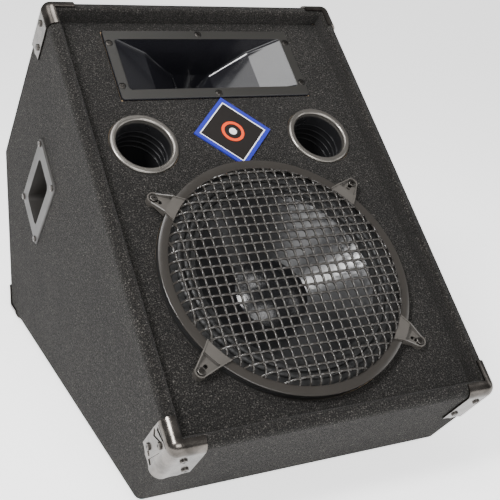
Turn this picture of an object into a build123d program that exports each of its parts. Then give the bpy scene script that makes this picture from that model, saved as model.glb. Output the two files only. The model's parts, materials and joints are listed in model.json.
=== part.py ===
from build123d import *
from math import asin, cos, hypot, pi, radians, sin, tan
import os

# Stage monitor wedge: a carpeted plywood cabinet with a 12 inch woofer, a horn and two ports.
# All sizes are in millimetres. X runs along the cabinet's width, the baffle faces -Y and up,
# and the cabinet stands on four rubber feet at Z = 0.

os.makedirs("parts", exist_ok=True)

# ---------------------------------------------------------------- cabinet sizes
cabinet_width = 401
baffle_length = 584  # over the carpet, from the toe panel to the top panel
toe_depth = 147  # toe panel, square to the baffle
top_depth = 305  # top panel, square to the baffle
base_length = 521
base_angle = 38.3  # between the baffle and the floor
panel = 12
baffle_thickness = 15
carpet = 2
recess_depth = 21.4  # from the lip down to the carpeted baffle
edge_radius = 10
lip_radius = 5
batten = 20
foot_height = 8
foot_radius = 19
foot_inset = 45  # from the ends of the base to each foot's centre

# ---------------------------------------------------------------- woofer sizes
woofer_drop = 104.9  # woofer axis below the middle of the baffle
frame_radius = 153
cutout_radius = 141.5
frame_rim = 6
seat_radius = 134  # inner edge of the frame's rim
basket_wall = 3.5
spider_radius = 86
spider_depth = 60
motor_depth = 92
cup_radius = 94
front_plate_thickness = 8
magnet_radius = 85
magnet_thickness = 20
plate_radius = 80
pole_radius = 31.2
coil_radius = 32.2
former_wall = 0.7
winding = 0.9
gap_radius = 34.8
cone_radius = 115.5
cone_depth = 50
cone_wall = 1.4
dust_cap_radius = 46
dust_cap_height = 15
roll_height = 4.2
cone_travel = 4
woofer_bolt_circle = 147
woofer_bolts = 8

# ---------------------------------------------------------------- grille sizes
grille_radius = 154
grille_band = 12
grille_sheet = 2
grille_rise = 9  # from the band up to the flat of the waffle
gasket_height = 5
waffle_pitch = 12
waffle_hole = 8.6
clamp_angles = [40.2, 139.8, 216.3, 321.3]  # about the woofer's axis, from its right
clamp_reach = 174  # woofer axis to the clamp screw
clamp_sheet = 1.5
clamp_sweep = 6.5  # half the arc that lies on the grille's band
lug_low = 7  # underside of the clamp's lug above the bare baffle
lug_radius = 7.5
lug_rim = 2  # rim round the screw, above the lug
ridge_rise = 1.2  # side ridge above the strip on the band

# ---------------------------------------------------------------- horn and driver sizes
horn_rise = 206.5  # middle of the horn plate above the middle of the baffle
horn_plate_width = 260.6
horn_plate_height = 108.8
horn_plate_top = 5  # above the bare baffle
horn_gasket_height = 1.5
horn_wall = 3
mouth_width = 235
mouth_height = 80.3
flare_width = 146.6
flare_height = 68
flare_depth = 14.3
neck_width = 56.6
neck_height = 53.6
neck_depth = 51.2
throat_depth = 90
throat_radius = 12.7
snout_radius = 17.4
snout_length = 14
driver_radius = 48
driver_magnet_thickness = 16
driver_pole_radius = 20.4
driver_gap_radius = 22.1
driver_coil_radius = 20.9
driver_plate = 6
cover_radius = 45
cover_depth = 24
diaphragm_travel = 0.3

# ---------------------------------------------------------------- ports and badge
port_spread = 119.6  # each port's axis from the middle of the cabinet
port_rise = 87.6
port_radius = 34.4
port_wall = 2.5
port_flange = 42.4
port_length = 110
port_top = 5
port_rib_count = 4
port_rib_start = 20  # first rib below the bare baffle
port_rib_step = 9.6
port_rib_height = 0.9
port_rib_width = 1.4
badge_rise = 99.2
badge_diagonal = 105
badge_thickness = 1.6
badge_border = 5
badge_relief = 0.5
emblem_radius = 15
emblem_line = 4
emblem_dot = 5

# ---------------------------------------------------------------- corner protectors
protector_wall = 2.5
protector_leg = 12  # width of the narrow legs
protector_leg_length = 38
flap_width = 37.5
flap_tip = 40
flap_length = 71
flap_scallop = 2  # depth of each scallop along the flap's end
groove_depth = 0.9
groove_border = 3  # plain edge left round the grooves

# ---------------------------------------------------------------- handles and input dish
handle_width = 81  # along the baffle
handle_length = 133  # away from the baffle
handle_rise = 143.3  # handle centre above the middle of the baffle
handle_depth = 196.5  # handle centre behind the lip
pocket_width = 47
pocket_length = 90
pocket_depth = 42
handle_flange = 3
handle_wall = 2.5
dish_width = 122
dish_height = 86
dish_flange = 2.5
dish_pocket_width = 92
dish_pocket_height = 56
dish_depth = 22
dish_wall = 2
jack_spacing = 44
jack_bore = 3.2
jack_bush = 4.5
jack_bore_length = 30
jack_bush_length = 7

# ---------------------------------------------------------------- crossover
board_width = 150
board_depth = 90
board_thickness = 1.6
spacer_height = 8
board_place = 0.72  # share of the base length from the toe to the board's centre
lead_radius = 2.2

# ---------------------------------------------------------------- fasteners and clearances
screw_fit = 0.1  # radial gap round a screw
cut_gap = 0.6  # gap round a flange, tube or cup in its cut-out
wood_screw_radius = 1.7
wood_screw_head = 4.2
machine_screw_radius = 2
machine_screw_head = 4.5
head_height = 2.2
recess_width = 1.1

up = Vector(0, 0, 1)
across = Vector(1, 0, 0)
along_baffle = Vector(0, cos(radians(base_angle)), sin(radians(base_angle)))
out_of_baffle = across.cross(along_baffle)

# ---------------------------------------------------------------- cabinet outline
# The outline is drawn from the side: first number along the baffle, second out of it.
half_baffle = baffle_length / 2
half_width = cabinet_width / 2
toe_corner = Vector(-half_baffle, 0)
base_front = Vector(-half_baffle, -toe_depth)
base_direction = Vector(cos(radians(base_angle)), -sin(radians(base_angle)))
base_rear = base_front + base_direction * base_length
top_rear = Vector(half_baffle, -top_depth)
top_corner = Vector(half_baffle, 0)
outline = [top_corner, top_rear, base_rear, base_front, toe_corner]
rear_direction = (top_rear - base_rear).normalized()


def inset(points, distance):
    """Corners of a clockwise outline, with every side moved inwards by distance."""
    moved = []
    for before, corner, after in zip(points[-1:] + points[:-1], points, points[1:] + points[:1]):
        arriving = (corner - before).normalized()
        leaving = (after - corner).normalized()
        normals = Vector(arriving.Y, -arriving.X) + Vector(leaving.Y, -leaving.X)
        moved.append(corner + normals * (distance / (1 + arriving.dot(leaving))))
    return moved


def from_side(point):
    """A side-view point as a vector from the middle of the baffle's lip."""
    return along_baffle * point.X + out_of_baffle * point.Y


# The part's origin is on the floor, midway between the front and rear extremes of the cabinet.
round_centres = inset(outline, edge_radius)
front_extreme = from_side(round_centres[4]).Y - edge_radius - protector_wall
rear_extreme = from_side(round_centres[1]).Y + edge_radius
lip_centre = Vector(0, -(front_extreme + rear_extreme) / 2, foot_height - from_side(base_front).Z)

lip_plane = Plane(origin=lip_centre, x_dir=across, z_dir=out_of_baffle)
side_plane = Plane(origin=lip_centre, x_dir=along_baffle, z_dir=across)
wood_depth = recess_depth + carpet
lip = carpet + panel + carpet
inner_half_width = half_width - carpet - panel
inner_half_length = half_baffle - carpet - panel


def on_baffle(x=0, rise=0, height=0):
    """A plane parallel to the bare front of the baffle board, height above it."""
    origin = lip_centre + across * x + along_baffle * rise + out_of_baffle * (height - wood_depth)
    return Plane(origin=origin, x_dir=across, z_dir=out_of_baffle)


def on_base(x, distance, height=0):
    """A plane facing down on the carpeted base, distance behind its front edge."""
    origin = lip_centre + from_side(base_front + base_direction * distance) + across * x
    return Plane(origin=origin - up * height, x_dir=across, z_dir=-up)


def on_rear(x, distance, height=0):
    """A plane on the carpeted rear panel, distance above its lower edge."""
    normal = across.cross(from_side(rear_direction)) * -1
    origin = lip_centre + from_side(base_rear + rear_direction * distance) + across * x
    return Plane(origin=origin + normal * height, x_dir=across * -1, z_dir=normal)


def on_side(side, rise, depth, height=0):
    """A plane on the carpeted left (-1) or right (1) side, with its X along the baffle."""
    origin = lip_centre + across * (side * (half_width + height))
    origin = origin + along_baffle * rise - out_of_baffle * depth
    return Plane(origin=origin, x_dir=along_baffle, z_dir=across * side)


def turned(plane, angle, radius):
    """A plane moved radius away from its own centre in the direction angle."""
    shift = plane.x_dir * (radius * cos(radians(angle))) + plane.y_dir * (radius * sin(radians(angle)))
    return Plane(origin=plane.origin + shift, x_dir=plane.x_dir, z_dir=plane.z_dir)


# ---------------------------------------------------------------- fastener places
woofer = on_baffle(0, -woofer_drop)
horn = on_baffle(0, horn_rise)
ports = [on_baffle(side * port_spread, port_rise) for side in (-1, 1)]
clamp_bases = [turned(woofer.offset(lug_low), angle, clamp_reach) for angle in clamp_angles]
woofer_screw_seats = [
    turned(woofer.offset(frame_rim), 360 * (i + 0.5) / woofer_bolts, woofer_bolt_circle)
    for i in range(woofer_bolts)
]
horn_screw_x = (horn_plate_width - 11.4) / 2
horn_screw_y = 33.8
horn_edge_y = (horn_plate_height - 13) / 2
horn_screw_depth = 1.6
horn_screw_spots = [(x, y) for x in (-horn_screw_x, horn_screw_x) for y in (-horn_screw_y, horn_screw_y)]
horn_screw_spots = horn_screw_spots + [(0, -horn_edge_y), (0, horn_edge_y)]
horn_screw_seats = [
    on_baffle(x, horn_rise + y, horn_plate_top - horn_screw_depth) for x, y in horn_screw_spots
]
handle_screw_x = (handle_width - 13) / 2
handle_screw_y = (handle_length - 13) / 2
handle_screw_seats = [
    on_side(side, handle_rise + x, handle_depth + y, handle_flange)
    for side in (-1, 1)
    for x in (-handle_screw_x, handle_screw_x)
    for y in (-handle_screw_y, handle_screw_y)
]
rear_length = (top_rear - base_rear).length
dish_screw_x = (dish_width - 13) / 2
dish_screw_y = (dish_height - 13) / 2
dish_screw_seats = [
    on_rear(x, rear_length / 2 + y, dish_flange)
    for x in (-dish_screw_x, dish_screw_x)
    for y in (-dish_screw_y, dish_screw_y)
]
foot_spots = [
    (side * (half_width - foot_inset), distance)
    for side in (-1, 1)
    for distance in (foot_inset, base_length - foot_inset - protector_leg_length)
]
foot_seat_height = foot_height - 4
foot_seats = [on_base(x, distance, foot_seat_height) for x, distance in foot_spots]


def corner_frame(side, corner):
    """Corner point, then the directions in from the side, in from the edge and away from the lip."""
    inward = 1 if corner.X < 0 else -1
    origin = lip_centre + from_side(corner) + across * (side * half_width)
    return origin, across * -side, along_baffle * inward, out_of_baffle * -1


near_screw = (17.5, 22)  # in from the edge, away from the lip
far_screw = (28.5, 53)
protector_screw_seats = []
for side in (-1, 1):
    for corner in (top_corner, toe_corner):
        origin, from_end, from_edge, back = corner_frame(side, corner)
        for spot in (near_screw, far_screw):
            for outward, inward in ((from_end, from_edge), (from_edge, from_end)):
                seat = origin - outward * protector_wall + inward * spot[0] + back * spot[1]
                protector_screw_seats.append(Plane(origin=seat, x_dir=back, z_dir=outward * -1))
    for distance in (near_screw, far_screw):
        place = half_width - distance[1]
        protector_screw_seats.append(on_rear(side * place, distance[0], protector_wall))
        protector_screw_seats.append(on_base(side * place, base_length - distance[0], protector_wall))


def screw(seat_head, head, shank, length):
    """One pan head screw with a cross recess, seated on Z = 0 and pointing down."""
    with BuildPart() as fastener:
        Cylinder(seat_head, head, align=(Align.CENTER, Align.CENTER, Align.MIN))
        fillet(fastener.edges().sort_by(Axis.Z)[-1], head * 0.45)
        with Locations((0, 0, head)):
            for turn in (0, 90):
                Box(seat_head * 1.1, recess_width, head, rotation=(0, 0, turn), mode=Mode.SUBTRACT)
        Cylinder(shank, length, align=(Align.CENTER, Align.CENTER, Align.MAX))
    return fastener.part


def drill(seats, radius, depth, above=20):
    """Straight holes through the part being built, at each seat."""
    with Locations(*[seat.offset(above) for seat in seats]):
        Cylinder(radius, depth + above, align=(Align.CENTER, Align.CENTER, Align.MAX), mode=Mode.SUBTRACT)


def save(builder, label):
    builder.part.label = label
    export_step(builder.part, f"parts/{label}.step")


# ---------------------------------------------------------------- cabinet bodies
def rounded_body(points, half, radius, recess_margin, depth, inner_radius):
    """The cabinet's solid shape with its edges rounded and the baffle recess cut into it."""
    with BuildPart() as body:
        with BuildSketch(side_plane):
            with BuildLine():
                Polyline(*points, close=True)
            make_face()
        extrude(amount=half, both=True)
        fillet(body.edges(), radius)
        if recess_margin:
            with BuildSketch(lip_plane.offset(-depth)):
                Rectangle(cabinet_width - 2 * recess_margin, baffle_length - 2 * recess_margin)
            extrude(amount=depth + carpet, mode=Mode.SUBTRACT)
            front = body.faces().filter_by(lip_plane).sort_by(Axis(lip_centre, out_of_baffle))[-1]
            fillet(front.inner_wires()[0].edges(), inner_radius)
    return body.part


carpeted_body = rounded_body(outline, half_width, edge_radius, lip, recess_depth, lip_radius)
wood_points = inset(outline, carpet)
wood_body = rounded_body(
    wood_points, half_width - carpet, edge_radius - carpet, carpet + panel, wood_depth, lip_radius - carpet
)
inner_points = inset(outline, carpet + panel)

pocket_cut_width = pocket_width + 2 * (handle_wall + cut_gap)
pocket_cut_length = pocket_length + 2 * (handle_wall + cut_gap)
dish_cut_width = dish_pocket_width + 2 * (dish_wall + cut_gap)
dish_cut_height = dish_pocket_height + 2 * (dish_wall + cut_gap)
pilot = wood_screw_radius + screw_fit
cut_depth = 60


def cut_side_openings(side):
    """Pocket and screw holes of one side, through wood and carpet."""
    with BuildSketch(on_side(side, handle_rise, handle_depth, 1)) as pocket:
        Rectangle(pocket_cut_width, pocket_cut_length)
    extrude(pocket.sketch, amount=-cut_depth, mode=Mode.SUBTRACT)
    drill(handle_screw_seats, pilot, cut_depth / 2)
    drill(protector_screw_seats, pilot, cut_depth / 2, above=1)


def cut_rear_openings():
    with BuildSketch(on_rear(0, rear_length / 2, 1)) as opening:
        Rectangle(dish_cut_width, dish_cut_height)
    extrude(opening.sketch, amount=-cut_depth, mode=Mode.SUBTRACT)
    drill(dish_screw_seats, pilot, cut_depth / 2)
    drill(protector_screw_seats, pilot, cut_depth / 2, above=1)


for side, label in ((-1, "left"), (1, "right")):
    with BuildPart() as side_panel:
        add(wood_body)
        with BuildSketch(side_plane.offset(side * (half_width - carpet - panel / 2))):
            Rectangle(3 * baffle_length, 3 * baffle_length)
        extrude(amount=panel / 2, both=True, mode=Mode.INTERSECT)
        cut_side_openings(side)
    save(side_panel, f"{label}_side_panel")

quads = {
    "top_panel": (0, 1),
    "rear_panel": (1, 2),
    "bottom_panel": (2, 3),
    "toe_panel": (3, 4),
}
for label, (first, second) in quads.items():
    corners = [wood_points[first], wood_points[second], inner_points[second], inner_points[first]]
    with BuildPart() as board:
        with BuildSketch(side_plane):
            with BuildLine():
                Polyline(*corners, close=True)
            make_face()
        extrude(amount=inner_half_width, both=True)
        add(wood_body, mode=Mode.INTERSECT)
        if label == "rear_panel":
            cut_rear_openings()
        else:
            drill(protector_screw_seats, pilot, cut_depth / 2, above=1)
        drill(foot_seats, pilot, cut_depth / 2, above=1)
    save(board, label)

horn_cut_width = mouth_width
horn_cut_height = mouth_height + 2 * horn_wall + 2 * cut_gap
tee_barrel = 3.2
tee_flange = 9
tee_length = 9
clamp_hole = machine_screw_radius + 0.4

with BuildPart() as baffle_board:
    with BuildSketch(lip_plane.offset(-wood_depth)):
        Rectangle(2 * inner_half_width, 2 * inner_half_length)
    extrude(amount=-baffle_thickness)
    with BuildSketch(woofer):
        Circle(cutout_radius)
    extrude(amount=-baffle_thickness, mode=Mode.SUBTRACT)
    with BuildSketch(horn):
        Rectangle(horn_cut_width, horn_cut_height)
    extrude(amount=-baffle_thickness, mode=Mode.SUBTRACT)
    drill(ports, port_radius + port_wall + cut_gap, cut_depth)
    drill(clamp_bases, clamp_hole, cut_depth)
    with Locations(*[plane.offset(-cut_depth) for plane in clamp_bases]):
        tee_mouth = lug_low + baffle_thickness
        Cylinder(
            tee_barrel + screw_fit,
            cut_depth - tee_mouth + tee_length,
            align=(Align.CENTER, Align.CENTER, Align.MIN),
            mode=Mode.SUBTRACT,
        )
    drill(woofer_screw_seats, pilot, cut_depth / 2)
    drill(horn_screw_seats, pilot, cut_depth / 2)
save(baffle_board, "baffle_board")

batten_length = 2 * (inner_half_length - batten)
with BuildPart() as baffle_battens:
    with BuildSketch(lip_plane.offset(-wood_depth - baffle_thickness)):
        with Locations((inner_half_width - batten / 2, 0), (-inner_half_width + batten / 2, 0)):
            Rectangle(batten, batten_length)
        with Locations((0, inner_half_length - batten / 2), (0, -inner_half_length + batten / 2)):
            Rectangle(2 * inner_half_width, batten)
    extrude(amount=-batten)
    with BuildSketch(lip_plane.offset(-wood_depth - baffle_thickness)):
        for end in (-1, 1):
            with Locations((0, end * (inner_half_length - batten))):
                Rectangle(2 * inner_half_width, 0.2)
    extrude(amount=-batten, mode=Mode.SUBTRACT)
    drill(protector_screw_seats, pilot, cut_depth / 2, above=1)
save(baffle_battens, "baffle_battens")

# ---------------------------------------------------------------- carpet
with BuildPart() as carpet_skin:
    add(carpeted_body)
    add(wood_body, mode=Mode.SUBTRACT)
skin = carpet_skin.part
seam = half_width - edge_radius

for side, label in ((-1, "left"), (1, "right")):
    with BuildPart() as carpet_side:
        add(skin)
        with BuildSketch(side_plane.offset(side * seam)):
            Rectangle(3 * baffle_length, 3 * baffle_length)
        extrude(amount=side * 2 * edge_radius, mode=Mode.INTERSECT)
        cut_side_openings(side)
    save(carpet_side, f"carpet_{label}")

with BuildPart() as carpet_wrap:
    add(skin)
    with BuildSketch(side_plane):
        Rectangle(3 * baffle_length, 3 * baffle_length)
    extrude(amount=seam, both=True, mode=Mode.INTERSECT)
    with BuildSketch(lip_plane.offset(-wood_depth)):
        Rectangle(cabinet_width - 2 * lip, baffle_length - 2 * lip)
    extrude(amount=carpet, mode=Mode.SUBTRACT)
    cut_rear_openings()
    drill(foot_seats, pilot, cut_depth / 2, above=1)
save(carpet_wrap, "carpet_wrap")

with BuildPart() as carpet_baffle:
    with BuildSketch(lip_plane.offset(-wood_depth)):
        Rectangle(cabinet_width - 2 * lip, baffle_length - 2 * lip)
    extrude(amount=carpet)
    drill([woofer], frame_radius + cut_gap, cut_depth)
    drill(ports, port_flange + cut_gap, cut_depth)
    drill(clamp_bases, clamp_hole, cut_depth)
    with BuildSketch(horn):
        Rectangle(horn_plate_width + 2 * cut_gap, horn_plate_height + 2 * cut_gap)
    extrude(amount=carpet, mode=Mode.SUBTRACT)
save(carpet_baffle, "carpet_baffle")

# ---------------------------------------------------------------- corner protectors
with BuildPart() as protector_skin:
    skin_radius = edge_radius + protector_wall
    add(rounded_body(inset(outline, -protector_wall), half_width + protector_wall, skin_radius, 0, 0, 0))
    add(rounded_body(outline, half_width, edge_radius, 0, 0, 0), mode=Mode.SUBTRACT)
overhang = 12


def flap_block(origin, inward, back):
    """A column whose section is the scalloped flap: inward from the edge, back from the legs."""
    tip = (flap_tip, flap_length - 5)
    middle = ((flap_tip + edge_radius) / 2, flap_length - 1.5)
    end = (edge_radius, flap_length)
    with BuildPart() as block:
        with BuildSketch(Plane(origin=origin, x_dir=inward, z_dir=inward.cross(back))):
            with BuildLine():
                Polyline(
                    tip,
                    (flap_width, protector_leg),
                    (flap_width, -overhang),
                    (-overhang, -overhang),
                    (-overhang, flap_length),
                    end,
                )
                for near, far in ((end, middle), (middle, tip)):
                    sag = ((near[0] + far[0]) / 2, (near[1] + far[1]) / 2 - flap_scallop)
                    ThreePointArc(near, sag, far)
            make_face()
        extrude(amount=cabinet_width, both=True)
    return block.part


def groove_block(origin, inward, back, away):
    """The shallow grooves in one flap's face: a line along the leg and a fan from the corner."""
    outward = inward.cross(back).normalized()
    if outward.dot(away) > 0:
        outward = outward * -1
    floor = origin + outward * (protector_wall - groove_depth)
    low = protector_leg - groove_border
    high = flap_width - groove_border
    fan = [(8, 21, low, 25), (27, 45, 14, 32), (71, 77, 24, 54), (80, 87, 20, 56)]
    with BuildPart() as block:
        with BuildSketch(Plane(origin=floor, x_dir=inward, z_dir=outward)) as grooves:
            with BuildLine():
                Polyline((low, low), (high, low), (high, low + 1.2), (low, low + 1.2), close=True)
            make_face()
            for start, end, near, far in fan:
                corners = [(near, start), (far, start), (far, end), (near, end)]
                with BuildLine():
                    Polyline(
                        *[(low + r * cos(radians(t)), low + r * sin(radians(t))) for r, t in corners],
                        close=True,
                    )
                make_face()
        extrude(amount=overhang)
    return block.part


def leg_block(origin, first, second):
    """A column whose section is the two narrow legs, along the two given edges."""
    slant = radians(first.get_angle(second))
    spots = [
        (-overhang, -overhang),
        (protector_leg_length, -overhang),
        (protector_leg_length, protector_leg),
        (protector_leg, protector_leg),
        (protector_leg, protector_leg_length),
        (-overhang, protector_leg_length),
    ]
    with BuildPart() as block:
        with BuildSketch(Plane(origin=origin, x_dir=first, z_dir=first.cross(second))):
            with BuildLine():
                Polyline(*[(p + q * cos(slant), q * sin(slant)) for p, q in spots], close=True)
            make_face()
        extrude(amount=cabinet_width, both=True)
    return block.part


def protector(origin, from_end, from_edge, back):
    """One protector: legs on the face that looks away from back, flaps on the other two."""
    with BuildPart() as guard:
        add(protector_skin.part)
        add(flap_block(origin, from_edge, back), mode=Mode.INTERSECT)
        add(flap_block(origin, from_end, back), mode=Mode.INTERSECT)
        add(leg_block(origin, from_end, from_edge), mode=Mode.INTERSECT)
        add(groove_block(origin, from_edge, back, from_end), mode=Mode.SUBTRACT)
        add(groove_block(origin, from_end, back, from_edge), mode=Mode.SUBTRACT)
        drill(protector_screw_seats, wood_screw_radius + screw_fit, 2 * protector_wall, above=1)
        mirror(about=Plane.YZ)
    return guard


save(protector(*corner_frame(-1, top_corner)), "top_corner_protectors")
save(protector(*corner_frame(-1, toe_corner)), "toe_corner_protectors")
rear_corner = lip_centre + from_side(base_rear) - across * half_width
save(
    protector(rear_corner, from_side(rear_direction), from_side(base_direction) * -1, across),
    "base_corner_protectors",
)

corner_screw = screw(wood_screw_head, head_height, wood_screw_radius, 14)
with BuildPart() as corner_screws:
    with Locations(*protector_screw_seats):
        add(corner_screw)
save(corner_screws, "corner_screws")

# ---------------------------------------------------------------- handles
for side, label in ((-1, "left"), (1, "right")):
    face = on_side(side, handle_rise, handle_depth)
    with BuildPart() as handle:
        with BuildSketch(face):
            RectangleRounded(handle_width, handle_length, 5)
        extrude(amount=handle_flange)
        fillet(handle.faces().filter_by(face).sort_by(Axis(face.origin, face.z_dir))[-1].edges(), 2)
        with BuildSketch(face):
            RectangleRounded(pocket_width + 2 * handle_wall, pocket_length + 2 * handle_wall, 10)
        extrude(amount=-pocket_depth - handle_wall)
        with BuildSketch(face.offset(handle_flange)):
            RectangleRounded(pocket_width, pocket_length, 8)
        extrude(amount=-pocket_depth - handle_flange, mode=Mode.SUBTRACT)
        drill(handle_screw_seats, wood_screw_radius + screw_fit, 20)
    save(handle, f"{label}_handle")

fitting_screw = screw(wood_screw_head, head_height, wood_screw_radius, 15)
with BuildPart() as fitting_screws:
    with Locations(*handle_screw_seats, *dish_screw_seats):
        add(fitting_screw)
save(fitting_screws, "fitting_screws")

# ---------------------------------------------------------------- feet
with BuildPart() as rubber_feet:
    with Locations(*[on_base(x, distance) for x, distance in foot_spots]):
        Cone(foot_radius, foot_radius - 2, foot_height, align=(Align.CENTER, Align.CENTER, Align.MIN))
    with Locations(*foot_seats):
        Cylinder(
            wood_screw_head + 1, foot_height, align=(Align.CENTER, Align.CENTER, Align.MIN), mode=Mode.SUBTRACT
        )
    drill(foot_seats, wood_screw_radius + screw_fit, foot_height)
save(rubber_feet, "rubber_feet")

foot_screw = screw(wood_screw_head, head_height, wood_screw_radius, 16)
with BuildPart() as foot_screws:
    with Locations(*foot_seats):
        add(foot_screw)
save(foot_screws, "foot_screws")

# ---------------------------------------------------------------- woofer
# Each turned part is a profile of (radius, height) points on the half plane through the axis.
woofer_section = Plane(origin=woofer.origin, x_dir=across, z_dir=along_baffle * -1)
woofer_axis = Axis(woofer.origin, out_of_baffle)


def ring(section, axis, inner, outer, low, high):
    """A plain ring about the axis."""
    with BuildSketch(section) as profile:
        with Locations(((inner + outer) / 2, (low + high) / 2)):
            Rectangle(outer - inner, high - low)
    revolve(profile.sketch, axis=axis)


def woofer_ring(inner, outer, low, high):
    ring(woofer_section, woofer_axis, inner, outer, low, high)


basket_outer = cutout_radius - 2
shelf_depth = 56
spokes = 6
with BuildPart() as woofer_basket:
    woofer_ring(seat_radius, frame_radius, 0, frame_rim)
    with BuildSketch(woofer_section):
        with BuildLine():
            Polyline(
                (basket_outer, 0),
                (cup_radius, -shelf_depth),
                (cup_radius, -motor_depth),
                (cup_radius - basket_wall, -motor_depth),
                (cup_radius - basket_wall, -shelf_depth),
                (basket_outer - basket_wall, 0),
                close=True,
            )
        make_face()
    revolve(axis=woofer_axis)
    window_depth = shelf_depth - 16
    for i in range(spokes):
        angle = 360 * i / spokes
        direction = across * cos(radians(angle)) + along_baffle * sin(radians(angle))
        window_seat = woofer.origin - out_of_baffle * 8
        window = Plane(origin=window_seat, x_dir=direction.cross(out_of_baffle), z_dir=direction)
        with BuildSketch(window.offset(cup_radius - 12)):
            with Locations((0, -window_depth / 2 if window.y_dir.dot(out_of_baffle) > 0 else window_depth / 2)):
                RectangleRounded(86, window_depth, 10)
        extrude(amount=60, mode=Mode.SUBTRACT)
    woofer_ring(gap_radius + 2, cup_radius - basket_wall, -motor_depth, -motor_depth + 4)
    woofer_ring(spider_radius - 9, cup_radius - basket_wall, -spider_depth - 3, -spider_depth)
    drill(woofer_screw_seats, wood_screw_radius + screw_fit, 20)
save(woofer_basket, "woofer_basket")

front_plate_top = -motor_depth
magnet_top = front_plate_top - front_plate_thickness
magnet_bottom = magnet_top - magnet_thickness
back_plate_thickness = 10
with BuildPart() as woofer_front_plate:
    woofer_ring(gap_radius, magnet_radius - 13, magnet_top, front_plate_top)
save(woofer_front_plate, "woofer_front_plate")

with BuildPart() as woofer_magnet:
    woofer_ring(gap_radius + 8, magnet_radius, magnet_bottom, magnet_top)
    fillet(woofer_magnet.edges().filter_by(GeomType.CIRCLE).sort_by(SortBy.RADIUS)[-2:], 1.5)
save(woofer_magnet, "woofer_magnet")

vent_radius = 10
with BuildPart() as woofer_back_plate:
    woofer_ring(vent_radius, plate_radius, magnet_bottom - back_plate_thickness, magnet_bottom)
    woofer_ring(vent_radius, pole_radius, magnet_bottom, front_plate_top + 1)
save(woofer_back_plate, "woofer_back_plate")

former_radius = coil_radius + former_wall
with BuildPart() as woofer_voice_coil:
    coil_bottom = -motor_depth - 7
    woofer_ring(coil_radius, former_radius, coil_bottom, -cone_depth + 2)
    woofer_ring(former_radius, former_radius + winding, coil_bottom, coil_bottom + 14)
save(woofer_voice_coil, "woofer_voice_coil")

# The cone is straight from its neck to the flat rim that carries the surround.
cone_neck = former_radius
cone_edge = cone_radius - 6
cone_slope = (cone_depth + frame_rim - cone_wall) / (cone_edge - cone_neck - 2)
with BuildPart() as woofer_cone:
    with BuildSketch(woofer_section):
        with BuildLine():
            Polyline(
                (cone_neck, -cone_depth + 1),
                (cone_neck + 2, -cone_depth + cone_wall),
                (cone_edge, frame_rim),
                (cone_radius, frame_rim),
                (cone_radius, frame_rim - cone_wall),
                (cone_edge + 1, frame_rim - cone_wall),
                (cone_neck + 3, -cone_depth),
                (cone_neck + 2, -cone_depth - 4),
                (cone_neck, -cone_depth - 4),
                close=True,
            )
        make_face()
    revolve(axis=woofer_axis)
save(woofer_cone, "woofer_cone")

cap_seat = -cone_depth + cone_wall + (dust_cap_radius - cone_neck - 2) * cone_slope
cap_sphere = (dust_cap_radius**2 + dust_cap_height**2) / (2 * dust_cap_height)
with BuildPart() as woofer_dust_cap:
    half_turn = asin(dust_cap_radius / cap_sphere) / 2
    crown = cap_seat + dust_cap_height
    mid_point = (cap_sphere * sin(half_turn), crown - cap_sphere * (1 - cos(half_turn)))
    with BuildSketch(woofer_section):
        with BuildLine():
            Line((0, crown), (0, crown - 1))
            ThreePointArc((0, crown - 1), (mid_point[0], mid_point[1] - 1), (dust_cap_radius - 0.5, cap_seat - 1))
            Line((dust_cap_radius - 0.5, cap_seat - 1), (dust_cap_radius, cap_seat - 1))
            Line((dust_cap_radius, cap_seat - 1), (dust_cap_radius, cap_seat))
            ThreePointArc((dust_cap_radius, cap_seat), mid_point, (0, crown))
        make_face()
    revolve(axis=woofer_axis)
    add(woofer_cone.part, mode=Mode.SUBTRACT)
save(woofer_dust_cap, "woofer_dust_cap")


def roll_profile(height, thickness):
    """Two half rolls between the cone's rim and the frame, drawn at the given height."""
    inner, outer = cone_radius, seat_radius - 1.5
    middle = (inner + outer) / 2
    quarter = (middle - inner) / 2
    for level in (height, height + thickness):
        Line((cone_edge, level), (inner, level))
        ThreePointArc((inner, level), (inner + quarter, level + roll_height), (middle, level))
        ThreePointArc((middle, level), (middle + quarter, level + roll_height), (outer, level))
        Line((outer, level), (seat_radius + 5, level))
    Line((cone_edge, height), (cone_edge, height + thickness))
    Line((seat_radius + 5, height), (seat_radius + 5, height + thickness))


with BuildPart() as woofer_surround:
    with BuildSketch(woofer_section):
        with BuildLine():
            roll_profile(frame_rim, 0.8)
        make_face()
    revolve(axis=woofer_axis)
save(woofer_surround, "woofer_surround")

spider_folds = 6
spider_inner = former_radius
fold_step = (spider_radius - 8 - spider_inner - 4) / (2 * spider_folds)
fold_points = [(spider_inner, -spider_depth)]
for fold in range(2 * spider_folds + 1):
    swing = 0 if fold % 2 == 0 else 3
    fold_points.append((spider_inner + 4 + fold * fold_step, -spider_depth + swing))
fold_points.append((spider_radius, -spider_depth))
upper_points = [(radius, height + 0.8) for radius, height in fold_points]
with BuildPart() as woofer_spider:
    with BuildSketch(woofer_section):
        with BuildLine():
            Polyline(*fold_points, *reversed(upper_points), close=True)
        make_face()
    revolve(axis=woofer_axis)
save(woofer_spider, "woofer_spider")

woofer_screw = screw(machine_screw_head - 0.3, head_height + 0.6, wood_screw_radius, 20)
with BuildPart() as woofer_screws:
    with Locations(*woofer_screw_seats):
        add(woofer_screw)
save(woofer_screws, "woofer_screws")

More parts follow.
